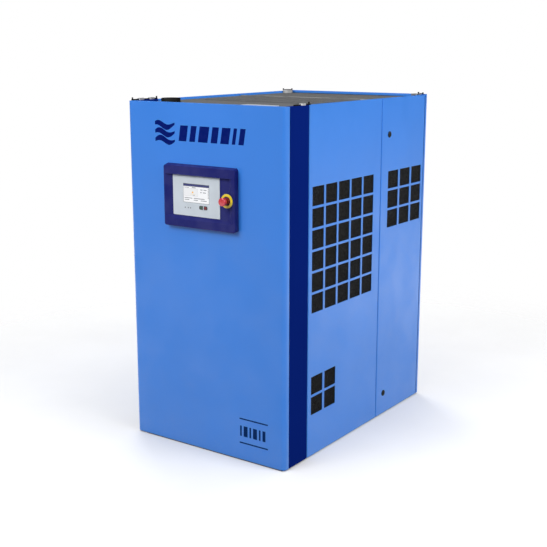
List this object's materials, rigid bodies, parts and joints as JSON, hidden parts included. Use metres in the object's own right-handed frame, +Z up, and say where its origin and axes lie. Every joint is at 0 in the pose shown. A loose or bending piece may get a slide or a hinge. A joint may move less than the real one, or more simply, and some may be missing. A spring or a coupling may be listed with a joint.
{
  "type": "screw compressor package with refrigerated air dryer",
  "caption": "Sheet-steel cabinet holding a rotary screw air compressor and a refrigerated air dryer, with hinged service doors, air intake grilles and a front control panel.",
  "frame": {"origin": "on the floor plane, at the middle of the skid under the cabinet", "axes": "+Z up; the control panel is on the -Y face; +X is to the right for someone facing the control panel"},
  "size_m": [0.887, 1.3935, 1.632],
  "materials": {
    "cabinet_blue": "satin powder coat",
    "cabinet_navy": "satin powder coat",
    "frame_black": "matte powder coat",
    "galvanised": "galvanised",
    "roof_grey": "fine textured coat",
    "lug_black": "matte black",
    "black_moulding": "moulded",
    "latch_zinc": "zinc plated, dark",
    "filter_mat": "open coarse fibre mat",
    "acoustic_foam": "cut foam with a skinned face",
    "bezel_navy": "fine moulded grain",
    "faceplate_grey": "smooth",
    "screen": "glossy display",
    "key_black": "rubbery keys",
    "lamp_lens": "small lenses",
    "estop_yellow": "moulded ring without lettering",
    "estop_dark_red": "moulded",
    "estop_red": "moulded",
    "turned_steel": "turned and ground",
    "switchgear_grey": "moulded",
    "machine_paint": "machine enamel",
    "castings": "cast",
    "filter_can": "enamelled can",
    "aluminium": "mill finish",
    "shroud_black": "satin black",
    "fan_black": "glass-filled moulding",
    "insulation": "closed-cell insulation",
    "pipe_steel": "plated tube",
    "copper": "drawn copper tube"
  },
  "bodies": {
    "cabinet": {"base_frame": "frame_black", "frame_tubes": "frame_black", "bay_divider": "galvanised", "front_panel": "cabinet_blue", "corner_strips": "cabinet_navy", "right_side_panel": "cabinet_blue", "left_side_panel": "cabinet_blue", "roof_plates": "roof_grey", "exhaust_guard": "roof_grey", "lug_shoes": "galvanised", "lug_bars": "lug_black", "cable_grommet": "black_moulding", "intake_filter_mats": "filter_mat", "fixed_hinges": "galvanised", "controller_bezel": "bezel_navy", "controller_unit": "faceplate_grey", "display_glass": "screen", "indicator_lamps": "lamp_lens", "estop_ring": "estop_yellow", "estop_body": "estop_dark_red", "electrical_cabinet": "galvanised", "switchgear": "switchgear_grey", "drive_motor": "machine_paint", "airend_casing": "castings", "air_intake": "black_moulding", "separator_tank": "machine_paint", "oil_filter": "filter_can", "cooler_core": "aluminium", "fan_shroud": "shroud_black", "condenser_coil": "aluminium", "condenser_shroud": "shroud_black", "refrigerant_compressor": "shroud_black", "heat_exchanger": "insulation", "water_separator": "aluminium", "air_pipework": "pipe_steel", "refrigerant_pipework": "copper"},
    "right_door": {"right_door": "cabinet_blue", "right_door_foam": "acoustic_foam", "dryer_filter_mat": "filter_mat", "right_latch_housings": "black_moulding", "right_door_hinges": "galvanised"},
    "left_door": {"left_door": "cabinet_blue", "left_door_foam": "acoustic_foam", "left_latch_housings": "black_moulding", "left_door_hinges": "galvanised"},
    "right_upper_latch": {"right_latch_upper": "latch_zinc"},
    "right_lower_latch": {"right_latch_lower": "latch_zinc"},
    "left_upper_latch": {"left_latch_upper": "latch_zinc"},
    "left_lower_latch": {"left_latch_lower": "latch_zinc"},
    "rear_cover": {"rear_panel": "cabinet_blue", "rear_screws": "latch_zinc"},
    "stop_plunger": {"estop_plunger": "turned_steel"},
    "stop_knob": {"estop_head": "estop_red"},
    "start_button": {"start_key": "key_black"},
    "stop_button": {"stop_key": "key_black"},
    "drive_rotor": {"motor_shaft": "turned_steel", "male_rotor": "turned_steel"},
    "driven_rotor": {"female_rotor": "turned_steel"},
    "cooler_fan": {"cooling_fan": "aluminium"},
    "dryer_fan": {"condenser_fan": "fan_black"}
  },
  "joints": [
    {"name": "right_door_hinge", "type": "hinge", "parent": "cabinet", "child": "right_door", "pos_m": [0.433, 0.615, 0.8], "axis": [0, 0, 1], "range_deg": [0, 105]},
    {"name": "left_door_hinge", "type": "hinge", "parent": "cabinet", "child": "left_door", "pos_m": [-0.433, 0.615, 0.8], "axis": [0, 0, -1], "range_deg": [0, 105]},
    {"name": "right_upper_latch_turn", "type": "hinge", "parent": "right_door", "child": "right_upper_latch", "pos_m": [0.42, 0.252, 1.443], "axis": [-1, 0, 0], "range_deg": [0, 90]},
    {"name": "right_lower_latch_turn", "type": "hinge", "parent": "right_door", "child": "right_lower_latch", "pos_m": [0.42, 0.252, 0.115], "axis": [1, 0, 0], "range_deg": [0, 90]},
    {"name": "left_upper_latch_turn", "type": "hinge", "parent": "left_door", "child": "left_upper_latch", "pos_m": [-0.42, 0.252, 1.443], "axis": [-1, 0, 0], "range_deg": [0, 90]},
    {"name": "left_lower_latch_turn", "type": "hinge", "parent": "left_door", "child": "left_lower_latch", "pos_m": [-0.42, 0.252, 0.115], "axis": [1, 0, 0], "range_deg": [0, 90]},
    {"name": "rear_cover_lift_off", "type": "slide", "parent": "cabinet", "child": "rear_cover", "axis": [0, 1, 0], "range_m": [0, 0.3]},
    {"name": "stop_plunger_press", "type": "slide", "parent": "cabinet", "child": "stop_plunger", "axis": [0, 1, 0], "range_m": [0, 0.006]},
    {"name": "stop_knob_turn", "type": "hinge", "parent": "stop_plunger", "child": "stop_knob", "pos_m": [0.153, -0.7, 1.205], "axis": [0, 1, 0], "range_deg": [0, 45]},
    {"name": "start_button_press", "type": "slide", "parent": "cabinet", "child": "start_button", "axis": [0, 1, 0], "range_m": [0, 0.0008]},
    {"name": "stop_button_press", "type": "slide", "parent": "cabinet", "child": "stop_button", "axis": [0, 1, 0], "range_m": [0, 0.0008]},
    {"name": "drive_rotor_spin", "type": "hinge", "parent": "cabinet", "child": "drive_rotor", "pos_m": [0.06, 0, 0.3], "axis": [0, 1, 0], "continuous": true},
    {"name": "driven_rotor_spin", "type": "hinge", "parent": "cabinet", "child": "driven_rotor", "pos_m": [-0.04, 0, 0.3], "axis": [0, 1, 0], "continuous": true},
    {"name": "cooler_fan_spin", "type": "hinge", "parent": "cabinet", "child": "cooler_fan", "pos_m": [0, -0.02, 1.37], "axis": [0, 0, 1], "continuous": true},
    {"name": "dryer_fan_spin", "type": "hinge", "parent": "cabinet", "child": "dryer_fan", "pos_m": [0.28, 0.424, 1.115], "axis": [1, 0, 0], "continuous": true}
  ],
  "couplings": [
    {"joint": "driven_rotor_spin", "follows": "drive_rotor_spin", "ratio": -0.66667}
  ]
}
